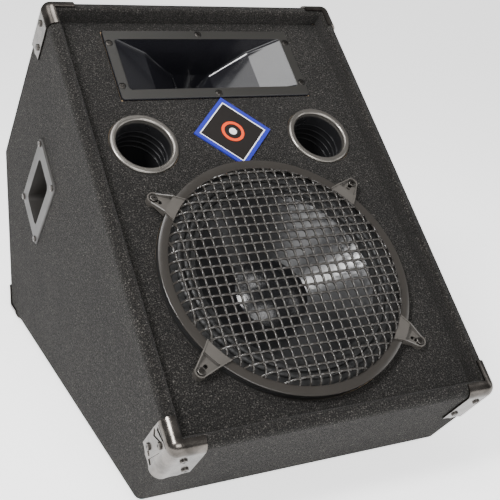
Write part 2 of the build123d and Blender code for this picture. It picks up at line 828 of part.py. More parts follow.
terminal_plane = Plane(
    origin=woofer.origin + along_baffle * cup_radius - out_of_baffle * 81,
    x_dir=across,
    z_dir=along_baffle,
)
with BuildPart() as woofer_terminals:
    with BuildSketch(terminal_plane.offset(0.5)):
        Rectangle(34, 14)
    extrude(amount=3)
    add(woofer_basket.part, mode=Mode.SUBTRACT)
    with BuildSketch(terminal_plane.offset(3.5)):
        with Locations((-10, 0), (10, 0)):
            Rectangle(6, 1)
    extrude(amount=9)
save(woofer_terminals, "woofer_terminals")

# ---------------------------------------------------------------- grille and clamps
gasket_top = frame_rim + gasket_height
with BuildPart() as grille_gasket:
    woofer_ring(seat_radius + 7, frame_radius + 0.5, frame_rim, gasket_top)
    drill(woofer_screw_seats, machine_screw_head + 0.3, 2)
save(grille_gasket, "grille_gasket")

band_inner = grille_radius - grille_band
shoulder = 13
flat_radius = band_inner - shoulder
waffle_top = gasket_top + grille_sheet + grille_rise
with BuildPart() as woofer_grille:
    with BuildSketch(woofer_section):
        with BuildLine():
            Polyline(
                (band_inner - 0.5, gasket_top),
                (grille_radius, gasket_top),
                (grille_radius, gasket_top + grille_sheet),
                (band_inner + 0.5, gasket_top + grille_sheet),
            )
            ThreePointArc(
                (band_inner + 0.5, gasket_top + grille_sheet),
                (band_inner - 4.5, waffle_top - 2.6),
                (flat_radius, waffle_top),
            )
            Polyline(
                (flat_radius, waffle_top),
                (0, waffle_top),
                (0, waffle_top - grille_sheet),
                (flat_radius - 0.5, waffle_top - grille_sheet),
            )
            ThreePointArc(
                (flat_radius - 0.5, waffle_top - grille_sheet),
                (band_inner - 6, waffle_top - 4.4),
                (band_inner - 0.5, gasket_top),
            )
        make_face()
    revolve(axis=woofer_axis)
    cells = int(band_inner / waffle_pitch) + 1
    hole_spots = [
        ((i + 0.5) * waffle_pitch, (j + 0.5) * waffle_pitch)
        for i in range(-cells, cells)
        for j in range(-cells, cells)
    ]
    hole_spots = [spot for spot in hole_spots if hypot(*spot) + 0.6 * waffle_hole < band_inner - 1]
    with BuildSketch(woofer.offset(gasket_top - 1)):
        with Locations(*hole_spots):
            Rectangle(waffle_hole, waffle_hole)
    extrude(amount=waffle_top - gasket_top + 2, mode=Mode.SUBTRACT)
save(woofer_grille, "woofer_grille")

strip_low = gasket_top + grille_sheet
strip_inner = band_inner + 0.6
strip_outer = grille_radius + 0.4 + clamp_sheet
strip_half = strip_outer * sin(radians(clamp_sweep))
ridge_top = strip_low + clamp_sheet + ridge_rise
rim_top = lug_low + clamp_sheet + lug_rim
slot_width = 2 * (machine_screw_radius + 0.4)
slot_length = 9


def lug_outline(height, inside, cleared):
    """The clamp's tapering outline, drawn in by one distance and cleared of a disc about the axis."""
    with BuildSketch(Plane.XY.offset(height)) as shape:
        Polygon(
            (band_inner - clamp_sheet, strip_half - inside),
            (band_inner - clamp_sheet, inside - strip_half),
            (clamp_reach, inside - lug_radius),
            (clamp_reach, lug_radius - inside),
            align=None,
        )
        with Locations((clamp_reach, 0)):
            Circle(lug_radius - inside)
        Circle(cleared, mode=Mode.SUBTRACT)
    return shape.sketch


with BuildPart() as clamp:
    extrude(lug_outline(strip_low, 0, strip_inner), amount=ridge_top - strip_low)
    extrude(lug_outline(lug_low, 0, strip_outer - clamp_sheet), amount=ridge_top - lug_low)
    hollow = ridge_top - lug_low
    extrude(lug_outline(strip_low + clamp_sheet, clamp_sheet, 1), amount=hollow, mode=Mode.SUBTRACT)
    extrude(lug_outline(lug_low + clamp_sheet, clamp_sheet, strip_outer), amount=hollow, mode=Mode.SUBTRACT)
    with BuildSketch(Plane.XZ):
        Polygon(
            (strip_outer, ridge_top),
            (clamp_reach, rim_top),
            (clamp_reach + 2 * lug_radius, rim_top),
            (clamp_reach + 2 * lug_radius, 2 * ridge_top),
            (strip_outer, 2 * ridge_top),
            align=None,
        )
    extrude(amount=2 * strip_half, both=True, mode=Mode.SUBTRACT)
    with BuildSketch(Plane.XY.offset(carpet)):
        with Locations((clamp_reach, 0)):
            Circle(lug_radius)
            Circle(lug_radius - clamp_sheet, mode=Mode.SUBTRACT)
    extrude(amount=lug_low - carpet)
    with BuildSketch(Plane.XY.offset(lug_low)):
        with Locations((clamp_reach - slot_length / 2, 0)):
            SlotOverall(slot_length + slot_width, slot_width)
    extrude(amount=clamp_sheet, mode=Mode.SUBTRACT)

with BuildPart() as grille_clamps:
    with Locations(*[woofer.location * Rot(0, 0, angle) for angle in clamp_angles]):
        add(clamp.part)
save(grille_clamps, "grille_clamps")

clamp_seats = [plane.offset(clamp_sheet) for plane in clamp_bases]
clamp_screw = screw(machine_screw_head, head_height + 0.8, machine_screw_radius, 28)
with BuildPart() as clamp_screws:
    with Locations(*clamp_seats):
        add(clamp_screw)
save(clamp_screws, "clamp_screws")

tee_seats = [plane.offset(-lug_low - baffle_thickness) for plane in clamp_bases]
with BuildPart() as clamp_tee_nuts:
    with Locations(*tee_seats):
        Cylinder(tee_flange, 1.4, align=(Align.CENTER, Align.CENTER, Align.MAX))
        Cylinder(tee_barrel, tee_length - 1, align=(Align.CENTER, Align.CENTER, Align.MIN))
    drill(clamp_bases, machine_screw_radius + screw_fit, cut_depth)
save(clamp_tee_nuts, "clamp_tee_nuts")

# ---------------------------------------------------------------- ports
bezel_round = 3
for plane, label in zip(ports, ("left", "right")):
    section = Plane(origin=plane.origin, x_dir=across, z_dir=along_baffle * -1)
    axis = Axis(plane.origin, out_of_baffle)
    outside = port_radius + port_wall
    round_start = port_top - bezel_round
    with BuildPart() as port_tube:
        with BuildSketch(section):
            with BuildLine():
                Polyline(
                    (port_flange, round_start),
                    (port_flange, 0),
                    (outside, 0),
                    (outside, -port_length),
                    (port_radius, -port_length),
                    (port_radius, round_start),
                )
                RadiusArc((port_radius, round_start), (port_radius + bezel_round, port_top), bezel_round)
                Line((port_radius + bezel_round, port_top), (port_flange - bezel_round, port_top))
                RadiusArc((port_flange - bezel_round, port_top), (port_flange, round_start), bezel_round)
            make_face()
        revolve(axis=axis)
        for rib in range(port_rib_count):
            low = -port_rib_start - port_rib_step * rib
            ring(section, axis, port_radius - port_rib_height, port_radius + 0.5, low, low + port_rib_width)
    save(port_tube, f"{label}_port_tube")

# ---------------------------------------------------------------- badge
badge_side = badge_diagonal / 2**0.5
badge_inside = badge_side - 2 * badge_border
with BuildPart() as badge_plate:
    with BuildSketch(on_baffle(0, badge_rise, carpet)):
        Rectangle(badge_side, badge_side, rotation=45)
    extrude(amount=badge_thickness)
    with BuildSketch(on_baffle(0, badge_rise, carpet + badge_thickness)):
        Rectangle(badge_side, badge_side, rotation=45)
        Rectangle(badge_inside, badge_inside, rotation=45, mode=Mode.SUBTRACT)
        Circle(emblem_radius)
        Circle(emblem_radius - emblem_line, mode=Mode.SUBTRACT)
        Circle(emblem_dot)
    extrude(amount=badge_relief)
    with BuildSketch(woofer):
        Circle(grille_radius + 0.5)
    extrude(amount=carpet + 2 * badge_thickness, mode=Mode.SUBTRACT)
save(badge_plate, "badge_plate")

# ---------------------------------------------------------------- horn
horn_sections = [
    (mouth_width, mouth_height, horn_plate_top, 4),
    (flare_width, flare_height, -flare_depth, 4),
    (neck_width, neck_height, -neck_depth, 4),
    (2 * throat_radius, 2 * throat_radius, -throat_depth, throat_radius - 0.5),
]
snout_end = -throat_depth - snout_length


def horn_loft(sections, mode):
    """Straight-sided stages from each section to the next."""
    for near, far in zip(sections, sections[1:]):
        faces = []
        for width, height, level, corner in (near, far):
            with BuildSketch(horn.offset(level)) as face:
                RectangleRounded(width, height, corner)
            faces.append(face.sketch)
        loft(faces, mode=mode)


outer_sections = [
    (width + 2 * horn_wall, height + 2 * horn_wall, level - horn_wall, corner + horn_wall)
    for width, height, level, corner in horn_sections[:-1]
]
outer_sections.append((2 * snout_radius, 2 * snout_radius, -throat_depth, snout_radius - 0.5))
with BuildPart() as horn_flare:
    with BuildSketch(horn.offset(horn_gasket_height)):
        RectangleRounded(horn_plate_width, horn_plate_height, 4)
    extrude(amount=horn_plate_top - horn_gasket_height)
    rim = horn_flare.faces().filter_by(horn).sort_by(Axis(horn.origin, out_of_baffle))[-1]
    chamfer(rim.edges(), 1.2)
    horn_loft(outer_sections, Mode.ADD)
    with Locations(horn.offset(-throat_depth + 4)):
        Cylinder(snout_radius, 4 + snout_length, align=(Align.CENTER, Align.CENTER, Align.MAX))
    horn_loft(horn_sections, Mode.SUBTRACT)
    with Locations(horn.offset(-throat_depth)):
        Cylinder(
            throat_radius, snout_length, align=(Align.CENTER, Align.CENTER, Align.MAX), mode=Mode.SUBTRACT
        )
    drill(horn_screw_seats, wood_screw_radius + screw_fit, 20)
    with Locations(*horn_screw_seats):
        Cylinder(
            wood_screw_head + cut_gap, 10, align=(Align.CENTER, Align.CENTER, Align.MIN), mode=Mode.SUBTRACT
        )
save(horn_flare, "horn_flare")

with BuildPart() as horn_gasket:
    with BuildSketch(horn):
        RectangleRounded(horn_plate_width - 2, horn_plate_height - 2, 4)
        Rectangle(mouth_width + 2 * horn_wall, mouth_height + 2 * horn_wall, mode=Mode.SUBTRACT)
    extrude(amount=horn_gasket_height)
    drill(horn_screw_seats, wood_screw_radius + screw_fit, 20)
save(horn_gasket, "horn_gasket")

horn_screw = screw(wood_screw_head - 0.2, head_height - 0.4, wood_screw_radius, 15)
with BuildPart() as horn_screws:
    with Locations(*horn_screw_seats):
        add(horn_screw)
save(horn_screws, "horn_screws")

# ---------------------------------------------------------------- compression driver
horn_section = Plane(origin=horn.origin, x_dir=across, z_dir=along_baffle * -1)
horn_axis = Axis(horn.origin, out_of_baffle)
base_plate = 8
pole_end = snout_end - base_plate - driver_magnet_thickness - driver_plate
thread_fit = 0.1
bore_end_radius = driver_pole_radius - 3.4


def turn_profile(points):
    """A solid turned about the horn's axis from its outline of (radius, height) points."""
    with BuildSketch(horn_section) as profile:
        with BuildLine():
            Polyline(*points, close=True)
        make_face()
    revolve(profile.sketch, axis=horn_axis)


with BuildPart() as driver_pole_plate:
    turn_profile(
        [
            (throat_radius, snout_end),
            (snout_radius + thread_fit, snout_end),
            (snout_radius + thread_fit, snout_end + snout_length - 1),
            (snout_radius + 6.5, snout_end + snout_length - 1),
            (snout_radius + 6.5, snout_end),
            (driver_radius, snout_end),
            (driver_radius, snout_end - base_plate),
            (driver_pole_radius, snout_end - base_plate),
            (driver_pole_radius, pole_end),
            (bore_end_radius, pole_end),
            (throat_radius, snout_end - base_plate),
        ]
    )
save(driver_pole_plate, "driver_pole_plate")

with BuildPart() as driver_magnet:
    top = snout_end - base_plate
    ring(horn_section, horn_axis, driver_gap_radius + 4, cover_radius, top - driver_magnet_thickness, top)
save(driver_magnet, "driver_magnet")

cover_back = horn.origin + out_of_baffle * (pole_end - cover_depth)
cover_face = Plane(origin=cover_back, x_dir=across, z_dir=out_of_baffle * -1)
cover_screw_seats = [
    turned(cover_face, a, cover_radius - 7)
    for a in (30, 150, 270)
]
with BuildPart() as driver_top_plate:
    ring(horn_section, horn_axis, driver_gap_radius, cover_radius, pole_end, pole_end + driver_plate)
    drill(cover_screw_seats, wood_screw_radius + screw_fit, cover_depth + driver_plate - 1)
save(driver_top_plate, "driver_top_plate")

plug_gap = 1.5
with BuildPart() as driver_phase_plug:
    for angle in (90, 210, 330):
        direction = across * cos(radians(angle)) + along_baffle * sin(radians(angle))
        with BuildSketch(Plane(origin=horn.origin, x_dir=direction, z_dir=direction.cross(out_of_baffle))):
            with BuildLine():
                Polyline(
                    (0, pole_end),
                    (bore_end_radius, pole_end),
                    (throat_radius + 0.6, snout_end - base_plate - 3),
                    (0, snout_end - base_plate - 3),
                    close=True,
                )
            make_face()
        extrude(amount=0.75, both=True)
    turn_profile([(0, pole_end), (bore_end_radius - plug_gap, pole_end), (1.5, snout_end - 4), (0, snout_end - 4)])
    with BuildSketch(horn_section) as outside:
        with BuildLine():
            Polyline(
                (throat_radius, snout_end - base_plate),
                (bore_end_radius, pole_end),
                (2 * cover_radius, pole_end),
                (2 * cover_radius, snout_end - base_plate),
                close=True,
            )
        make_face()
    revolve(outside.sketch, axis=horn_axis, mode=Mode.SUBTRACT)
save(driver_phase_plug, "driver_phase_plug")

rest = pole_end - 1.5
dome_radius = 19
dome_height = 7
dome_wall = 0.5
driver_former = 0.7
dome_sphere = (dome_radius**2 + dome_height**2) / (2 * dome_height)
dome_half_turn = asin(dome_radius / dome_sphere) / 2
dome_mid = (dome_sphere * sin(dome_half_turn), rest - dome_height + dome_sphere * (1 - cos(dome_half_turn)))
with BuildPart() as driver_diaphragm:
    with BuildSketch(horn_section):
        with BuildLine():
            Line((0, rest - dome_height), (0, rest - dome_height - dome_wall))
            ThreePointArc(
                (0, rest - dome_height - dome_wall),
                (dome_mid[0], dome_mid[1] - dome_wall),
                (dome_radius, rest - dome_wall),
            )
            Polyline(
                (dome_radius, rest - dome_wall),
                (driver_coil_radius + driver_former, rest - dome_wall),
                (driver_coil_radius + driver_former, rest),
                (dome_radius, rest),
            )
            ThreePointArc((dome_radius, rest), dome_mid, (0, rest - dome_height))
        make_face()
    revolve(axis=horn_axis)
save(driver_diaphragm, "driver_diaphragm")

with BuildPart() as driver_voice_coil:
    ring(horn_section, horn_axis, driver_coil_radius, driver_coil_radius + driver_former, rest, rest + 7)
save(driver_voice_coil, "driver_voice_coil")

edge = driver_coil_radius + driver_former + 0.2
with BuildPart() as driver_suspension:
    turn_profile(
        [
            (edge + 8, pole_end),
            (edge + 4, pole_end),
            (edge + 1.2, rest),
            (edge, rest),
            (edge, rest - dome_wall),
            (edge + 1.5, rest - dome_wall),
            (edge + 4.3, pole_end - dome_wall),
            (edge + 8, pole_end - dome_wall),
        ]
    )
save(driver_suspension, "driver_suspension")

cover_wall = 2.5
with BuildPart() as driver_back_cover:
    ring(horn_section, horn_axis, 0, cover_radius, pole_end - cover_depth, pole_end)
    fillet(driver_back_cover.edges().sort_by(Axis(horn.origin, out_of_baffle))[0], 3)
    ring_void = cover_radius - cover_wall
    with Locations(Plane(origin=horn.origin + out_of_baffle * pole_end, x_dir=across, z_dir=out_of_baffle)):
        Cylinder(
            ring_void, cover_depth - cover_wall, align=(Align.CENTER, Align.CENTER, Align.MAX), mode=Mode.SUBTRACT
        )
    with Locations(*cover_screw_seats):
        with Locations((0, 0, -cover_depth)):
            Cylinder(5.5, cover_depth - 1, align=(Align.CENTER, Align.CENTER, Align.MIN))
    drill(cover_screw_seats, wood_screw_radius + screw_fit, cover_depth)
save(driver_back_cover, "driver_back_cover")

cover_screw = screw(wood_screw_head - 0.6, head_height, wood_screw_radius, cover_depth + driver_plate - 2)
with BuildPart() as driver_cover_screws:
    with Locations(*cover_screw_seats):
        add(cover_screw)
save(driver_cover_screws, "driver_cover_screws")

# ---------------------------------------------------------------- input dish and jacks
rear_middle = rear_length / 2
jack_floors = [on_rear(x, rear_middle, -dish_depth) for x in (-jack_spacing / 2, jack_spacing / 2)]
with BuildPart() as input_dish:
    face = on_rear(0, rear_middle)
    with BuildSketch(face):
        RectangleRounded(dish_width, dish_height, 7)
    extrude(amount=dish_flange)
    fillet(input_dish.faces().filter_by(face).sort_by(Axis(face.origin, face.z_dir))[-1].edges(), 1.5)
    with BuildSketch(face):
        RectangleRounded(dish_pocket_width + 2 * dish_wall, dish_pocket_height + 2 * dish_wall, 8)
    extrude(amount=-dish_depth - dish_wall)
    with BuildSketch(face.offset(dish_flange)):
        RectangleRounded(dish_pocket_width, dish_pocket_height, 6)
    extrude(amount=-dish_depth - dish_flange, mode=Mode.SUBTRACT)
    drill(dish_screw_seats, wood_screw_radius + screw_fit, 20)
    drill(jack_floors, jack_bush + screw_fit, 20)
save(input_dish, "input_dish")

jack_body_length = 30
with BuildPart() as input_jacks:
    with Locations(*[floor.offset(-dish_wall) for floor in jack_floors]):
        Box(24, 22, jack_body_length, align=(Align.CENTER, Align.CENTER, Align.MAX))
    with Locations(*[floor.offset(jack_bush_length - dish_wall) for floor in jack_floors]):
        Cylinder(jack_bush, jack_bush_length, align=(Align.CENTER, Align.CENTER, Align.MAX))
        Cylinder(
            jack_bore, jack_bore_length, align=(Align.CENTER, Align.CENTER, Align.MAX), mode=Mode.SUBTRACT
        )
save(input_jacks, "input_jacks")

with BuildPart() as jack_nuts:
    for floor in jack_floors:
        with BuildSketch(floor):
            RegularPolygon(7.6, 6)
            Circle(jack_bush + screw_fit, mode=Mode.SUBTRACT)
        extrude(amount=2.5)
save(jack_nuts, "jack_nuts")

# ---------------------------------------------------------------- crossover
inside_floor = -(carpet + panel)
board_level = inside_floor - spacer_height
board_origin = on_base(0, board_place * base_length, board_level).origin
crossover = Plane(origin=board_origin, x_dir=across, z_dir=up)
spacer_spots = [(x, y) for x in (-board_width / 2 + 7, board_width / 2 - 7) for y in (-38, 38)]
with BuildPart() as crossover_board:
    with BuildSketch(crossover):
        RectangleRounded(board_width, board_depth, 3)
        with Locations(*spacer_spots):
            Circle(2, mode=Mode.SUBTRACT)
    extrude(amount=board_thickness)
save(crossover_board, "crossover_board")

with BuildPart() as crossover_spacers:
    with Locations(crossover):
        with Locations(*[(x, y, 0) for x, y in spacer_spots]):
            Cylinder(4, spacer_height, align=(Align.CENTER, Align.CENTER, Align.MAX))
            Cylinder(1.9, board_thickness + 2, align=(Align.CENTER, Align.CENTER, Align.MIN))
save(crossover_spacers, "crossover_spacers")

board_top = crossover.offset(board_thickness)
with BuildPart() as crossover_inductors:
    for x in (-50, 50):
        with BuildSketch(board_top):
            with Locations((x, 0)):
                Circle(19)
                Circle(9, mode=Mode.SUBTRACT)
        extrude(amount=22)
save(crossover_inductors, "crossover_inductors")

capacitor_radius = 9
with BuildPart() as crossover_capacitors:
    for y in (-13, 11):
        seat = board_top.from_local_coords((-22, y, capacitor_radius))
        section = Plane(origin=seat, x_dir=across.cross(up), z_dir=across)
        with BuildSketch(section):
            Circle(capacitor_radius)
        extrude(amount=44)
save(crossover_capacitors, "crossover_capacitors")


# ---------------------------------------------------------------- internal leads
def lead(points):
    """A round lead along straight runs joined by arcs as large as the runs allow."""
    runs = [(after - before).length for before, after in zip(points, points[1:])]
    radii = []
    for i in range(1, len(points) - 1):
        turn = (points[i] - points[i - 1]).get_angle(points[i + 1] - points[i])
        radii.append(0.45 * min(runs[i - 1], runs[i]) / tan(radians(turn / 2)))
    print("lead radii", [round(radius, 1) for radius in radii])
    with BuildPart() as wire:
        with BuildLine() as route:
            FilletPolyline(*points, radius=radii)
        with BuildSketch(Plane(origin=route.wire() @ 0, z_dir=route.wire() % 0)):
            Circle(lead_radius)
        sweep(path=route.wire())
    straight_volume = pi * lead_radius**2 * route.wire().length
    print("lead volume over section times length", wire.part.volume / straight_volume)
    return wire.part


def beside(plane, x, y, z):
    return plane.from_local_coords((x, y, z))


woofer_end = terminal_plane.offset(3.5)
woofer_lead = lead(
    [
        woofer_end.origin,
        beside(woofer_end, 0, 0, 40),
        beside(board_top, 6, -85, 178),
        beside(board_top, 10, -52, 118),
        beside(board_top, 2, -36, 62),
        beside(board_top, 2, -36, 0),
    ]
)
driver_end = Plane(origin=cover_back, x_dir=across, z_dir=out_of_baffle * -1)
horn_lead = lead(
    [
        driver_end.origin,
        beside(driver_end, 0, 0, 34),
        beside(board_top, -8, 50, 158),
        beside(board_top, -16, 42, 92),
        beside(board_top, -12, 34, 46),
        beside(board_top, -12, 34, 0),
    ]
)
jack_end = jack_floors[0].offset(-dish_wall - jack_body_length)
input_lead = lead(
    [
        jack_end.origin,
        beside(jack_end, 0, 0, -24),
        beside(board_top, 20, 42, 56),
        beside(board_top, 14, 34, 30),
        beside(board_top, 14, 34, 0),
    ]
)
with BuildPart() as internal_leads:
    add(woofer_lead)
    add(horn_lead)
    add(input_lead)
save(internal_leads, "internal_leads")
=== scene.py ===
import bpy
import bmesh
import json
from math import cos, hypot, pi, sin, sqrt
from mathutils import Matrix, Vector


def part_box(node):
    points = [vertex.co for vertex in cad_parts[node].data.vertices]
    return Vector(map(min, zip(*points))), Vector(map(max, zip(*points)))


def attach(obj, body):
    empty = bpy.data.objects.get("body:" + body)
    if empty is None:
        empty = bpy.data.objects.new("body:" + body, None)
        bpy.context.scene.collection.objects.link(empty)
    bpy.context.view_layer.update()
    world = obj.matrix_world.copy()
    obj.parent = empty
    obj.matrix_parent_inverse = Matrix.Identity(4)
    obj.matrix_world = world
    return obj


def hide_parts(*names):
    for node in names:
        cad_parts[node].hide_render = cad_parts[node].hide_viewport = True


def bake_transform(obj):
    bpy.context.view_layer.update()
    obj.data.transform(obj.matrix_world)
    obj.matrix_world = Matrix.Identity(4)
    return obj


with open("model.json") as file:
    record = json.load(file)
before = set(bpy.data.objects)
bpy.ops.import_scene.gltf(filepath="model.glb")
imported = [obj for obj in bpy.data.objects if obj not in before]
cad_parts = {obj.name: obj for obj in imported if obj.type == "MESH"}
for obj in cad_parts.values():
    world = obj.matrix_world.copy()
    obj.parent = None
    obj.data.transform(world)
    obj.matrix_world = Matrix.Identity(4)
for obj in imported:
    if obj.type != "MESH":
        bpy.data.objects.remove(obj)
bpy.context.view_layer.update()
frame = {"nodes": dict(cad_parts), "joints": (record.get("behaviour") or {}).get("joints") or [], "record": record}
nodes = frame["nodes"]

MM = 0.001

# ---------------------------------------------------------------- directions and places
# Everything on the baffle is placed by (across, along, out) about the woofer's axis.
across = Vector((1, 0, 0))
out = Vector(next(j["axis"] for j in frame["joints"] if j["name"] == "woofer_cone_travel")).normalized()
along = out.cross(across)
gasket_low, gasket_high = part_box("grille_gasket")
GASKET_MIDDLE = 8.5 * MM  # middle of the gasket above the bare baffle
BADGE_RISE = 204.1 * MM  # middle of the badge along the baffle from the woofer's axis
woofer_centre = (gasket_low + gasket_high) / 2 - out * GASKET_MIDDLE


def on_woofer(x, y, height):
    """A point about the woofer's axis: across, along, height above the bare baffle."""
    return woofer_centre + across * x + along * y + out * height


# ---------------------------------------------------------------- mesh helpers
def new_piece(name, verts, faces):
    """A smooth-shaded piece made of vertices and faces."""
    mesh = bpy.data.meshes.new(name)
    mesh.from_pydata([tuple(v) for v in verts], [], faces)
    mesh.update()
    for polygon in mesh.polygons:
        polygon.use_smooth = True
    piece = bpy.data.objects.new(name, mesh)
    bpy.context.scene.collection.objects.link(piece)
    return piece


def fix_normals(piece):
    work = bmesh.new()
    work.from_mesh(piece.data)
    bmesh.ops.recalc_face_normals(work, faces=work.faces)
    work.to_mesh(piece.data)
    work.free()


def turned_mesh(profile, steps, point_at):
    """Vertices and faces of a closed (radius, height) profile turned about an axis."""
    count = len(profile)
    verts, faces = [], []
    for i in range(steps):
        angle = 2 * pi * i / steps
        verts += [point_at(r * cos(angle), r * sin(angle), h) for r, h in profile]
        here, there = i * count, (i + 1) % steps * count
        for k in range(count):
            n = (k + 1) % count
            faces.append((here + k, here + n, there + n, there + k))
    return verts, faces


# ---------------------------------------------------------------- material helpers
def shader(name, color=(0.5, 0.5, 0.5), rough=0.5, metallic=0.0, **sockets):
    """A Principled material, with constant values set on the shader's own sockets."""
    material = bpy.data.materials.new(name)
    material.use_nodes = True
    bsdf = material.node_tree.nodes["Principled BSDF"]
    bsdf.inputs["Base Color"].default_value = (*color, 1)
    bsdf.inputs["Roughness"].default_value = rough
    bsdf.inputs["Metallic"].default_value = metallic
    for socket, value in sockets.items():
        bsdf.inputs[socket.replace("_", " ")].default_value = value
    return material


class Graph:
    """Short names for adding nodes to one material."""

    def __init__(self, material):
        self.tree = material.node_tree
        self.bsdf = self.tree.nodes["Principled BSDF"]
        self.coords = self.tree.nodes.new("ShaderNodeTexCoord").outputs["Object"]

    def link(self, source, target):
        self.tree.links.new(source, target)

    def node(self, kind, **settings):
        made = self.tree.nodes.new(kind)
        for key, value in settings.items():
            setattr(made, key, value)
        return made

    def mapping(self, scale):
        made = self.node("ShaderNodeMapping")
        made.inputs["Scale"].default_value = scale
        self.link(self.coords, made.inputs["Vector"])
        return made.outputs["Vector"]

    def noise(self, scale, detail=2.0, roughness=0.5, vector=None):
        made = self.node("ShaderNodeTexNoise")
        made.inputs["Scale"].default_value = scale
        made.inputs["Detail"].default_value = detail
        made.inputs["Roughness"].default_value = roughness
        self.link(vector or self.coords, made.inputs["Vector"])
        return made.outputs["Fac"]

    def ramp(self, source, *stops):
        made = self.node("ShaderNodeValToRGB")
        elements = made.color_ramp.elements
        while len(elements) < len(stops):
            elements.new(0.5)
        for element, (position, color) in zip(elements, stops):
            element.position = position
            element.color = (*color, 1) if len(color) == 3 else color
        self.link(source, made.inputs["Fac"])
        return made.outputs["Color"]

    def mix(self, factor, first, second, blend="MIX"):
        made = self.node("ShaderNodeMix", data_type="RGBA", blend_type=blend)
        if isinstance(factor, (int, float)):
            made.inputs["Factor"].default_value = factor
        else:
            self.link(factor, made.inputs["Factor"])
        for value, socket in ((first, made.inputs["A"]), (second, made.inputs["B"])):
            if isinstance(value, tuple):
                socket.default_value = (*value, 1)
            else:
                self.link(value, socket)
        return made.outputs["Result"]

    def math(self, operation, first, second=0.0):
        made = self.node("ShaderNodeMath", operation=operation)
        for value, socket in ((first, made.inputs[0]), (second, made.inputs[1])):
            if isinstance(value, (int, float)):
                socket.default_value = value
            else:
                self.link(value, socket)
        return made.outputs[0]

    def span(self, source, low, high):
        """A value from 0 to 1 remapped to low to high."""
        made = self.node("ShaderNodeMapRange")
        made.inputs["To Min"].default_value = low
        made.inputs["To Max"].default_value = high
        self.link(source, made.inputs["Value"])
        return made.outputs["Result"]

    def bump(self, height, strength, distance):
        made = self.node("ShaderNodeBump")
        made.inputs["Strength"].default_value = strength
        made.inputs["Distance"].default_value = distance
        self.link(height, made.inputs["Height"])
        self.link(made.outputs["Normal"], self.bsdf.inputs["Normal"])

    def color(self, source):
        self.link(source, self.bsdf.inputs["Base Color"])

    def rough(self, source):
        self.link(source, self.bsdf.inputs["Roughness"])


# ---------------------------------------------------------------- materials
def carpet_material():
    """Needle felt: charcoal fibres with fine pale flecks and a fuzzy, pitted surface."""
    material = shader("carpet", rough=0.95, Sheen_Weight=0.05, Sheen_Roughness=0.5, Specular_IOR_Level=0.12)
    graph = Graph(material)
    fibre = graph.noise(700, 4.0, 0.8)
    fleck = graph.noise(640, 2.0, 0.7)
    patch = graph.noise(14, 3.0, 0.6)
    body = graph.ramp(
        fibre,
        (0.34, (0.001, 0.001, 0.001)),
        (0.52, (0.007, 0.0063, 0.0056)),
        (0.72, (0.036, 0.033, 0.030)),
    )
    flecks = graph.ramp(
        fleck,
        (0.53, (0, 0, 0)),
        (0.65, (0.050, 0.047, 0.043)),
        (0.75, (0.19, 0.18, 0.168)),
    )
    flecked = graph.mix(1.0, body, flecks, "ADD")
    shade = graph.ramp(patch, (0.3, (0.82, 0.81, 0.80)), (0.7, (1.15, 1.14, 1.12)))
    graph.color(graph.mix(1.0, flecked, shade, "MULTIPLY"))
    graph.bump(fibre, 1.0, 0.0022)
    return material


def grained_plastic(name, color, rough, grain=1400, depth=0.0002):
    """Moulded plastic with a fine spark-eroded grain and slightly uneven gloss."""
    material = shader(name, color, rough)
    graph = Graph(material)
    fine = graph.noise(grain, 2.0, 0.5)
    broad = graph.noise(35, 3.0, 0.5)
    graph.rough(graph.span(broad, rough - 0.08, rough + 0.10))
    graph.color(graph.mix(broad, color, tuple(c * 1.25 for c in color)))
    graph.bump(fine, 0.25, depth)
    return material


def powder_coat(name, color, rough):
    """Satin powder coat: a faint orange peel over an even colour."""
    material = shader(name, color, rough, Coat_Weight=0.15, Coat_Roughness=0.3)
    graph = Graph(material)
    peel = graph.noise(900, 2.0, 0.5)
    broad = graph.noise(30, 2.0, 0.5)
    graph.color(graph.mix(broad, tuple(c * 0.9 for c in color), tuple(c * 1.12 for c in color)))
    graph.rough(graph.span(broad, rough - 0.06, rough + 0.08))
    graph.bump(peel, 0.12, 0.0002)
    return material


def metal(name, color, rough, stretch=(1, 1, 1)):
    """Bare or plated metal with fine drawn marks."""
    material = shader(name, color, rough, 1.0)
    graph = Graph(material)
    marks = graph.noise(400, 3.0, 0.6, graph.mapping(stretch))
    graph.rough(graph.span(marks, rough - 0.08, rough + 0.12))
    graph.bump(marks, 0.08, 0.0001)
    return material


def gloss(name, color, rough):
    """Smooth glossy plastic or lacquer with faint dust."""
    material = shader(name, color, rough, Coat_Weight=0.6, Coat_Roughness=0.06)
    graph = Graph(material)
    dust = graph.noise(160, 3.0, 0.6)
    graph.rough(graph.span(dust, rough, rough + 0.12))
    return material


def pressed_paper(name, rough):
    """Black lacquered pulp: glossy, with a cockled, fibrous surface."""
    material = shader(name, (0.008, 0.008, 0.009), rough, Coat_Weight=0.5, Coat_Roughness=0.2)
    graph = Graph(material)
    cockle = graph.noise(240, 3.0, 0.6)
    graph.rough(graph.span(cockle, rough, rough + 0.12))
    graph.bump(cockle, 0.35, 0.0008)
    return material


def plywood_material():
    material = shader("plywood", rough=0.6)
    graph = Graph(material)
    grain = graph.noise(40, 4.0, 0.6, graph.mapping((1, 12, 12)))
    graph.color(graph.ramp(grain, (0.3, (0.42, 0.27, 0.14)), (0.7, (0.68, 0.50, 0.31))))
    graph.bump(grain, 0.2, 0.0003)
    return material


